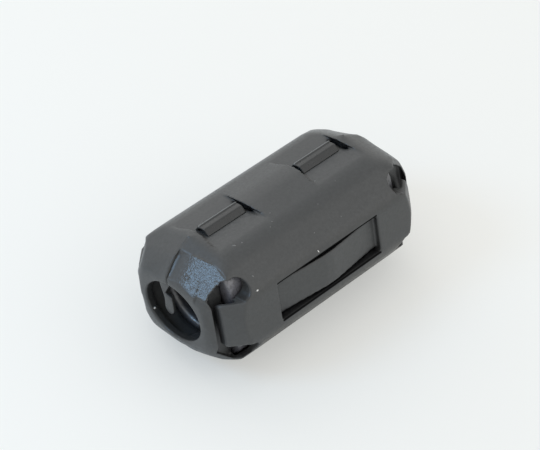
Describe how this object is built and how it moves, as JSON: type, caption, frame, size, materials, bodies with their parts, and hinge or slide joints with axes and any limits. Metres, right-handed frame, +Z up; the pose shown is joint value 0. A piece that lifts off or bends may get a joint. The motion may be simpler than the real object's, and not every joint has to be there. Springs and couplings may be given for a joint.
{
  "type": "clip on ferrite bead",
  "caption": "Clip-on ferrite bead for a round cable: hinged plastic half shells with spring windows and end tongues around a split ferrite sleeve.",
  "frame": {"origin": "centre of the cable hole, half way along the case", "axes": "+X along the cable hole, +Z up as the part lies; the case is rolled 13 degrees about X so that it rests on the sloping bottom face of its back half, which is on the +Y side"},
  "size_m": [0.035, 0.0196, 0.017],
  "materials": {
    "case": "satin moulded black plastic",
    "ferrite": "semi-gloss ground ferrite"
  },
  "bodies": {
    "back_half": {"back_shell": "case", "back_core": "ferrite"},
    "front_half": {"front_shell": "case", "front_core": "ferrite", "hinge_strap_near": "case", "hinge_strap_far": "case", "latch_hook_near": "case", "latch_hook_far": "case"}
  },
  "joints": [
    {"name": "opening", "type": "hinge", "parent": "back_half", "child": "front_half", "pos_m": [0, 0.00195, 0.00843], "axis": [-1, 0, 0], "range_deg": [0, 180], "deforming": ["hinge_strap_near", "hinge_strap_far", "latch_hook_near", "latch_hook_far"]}
  ]
}
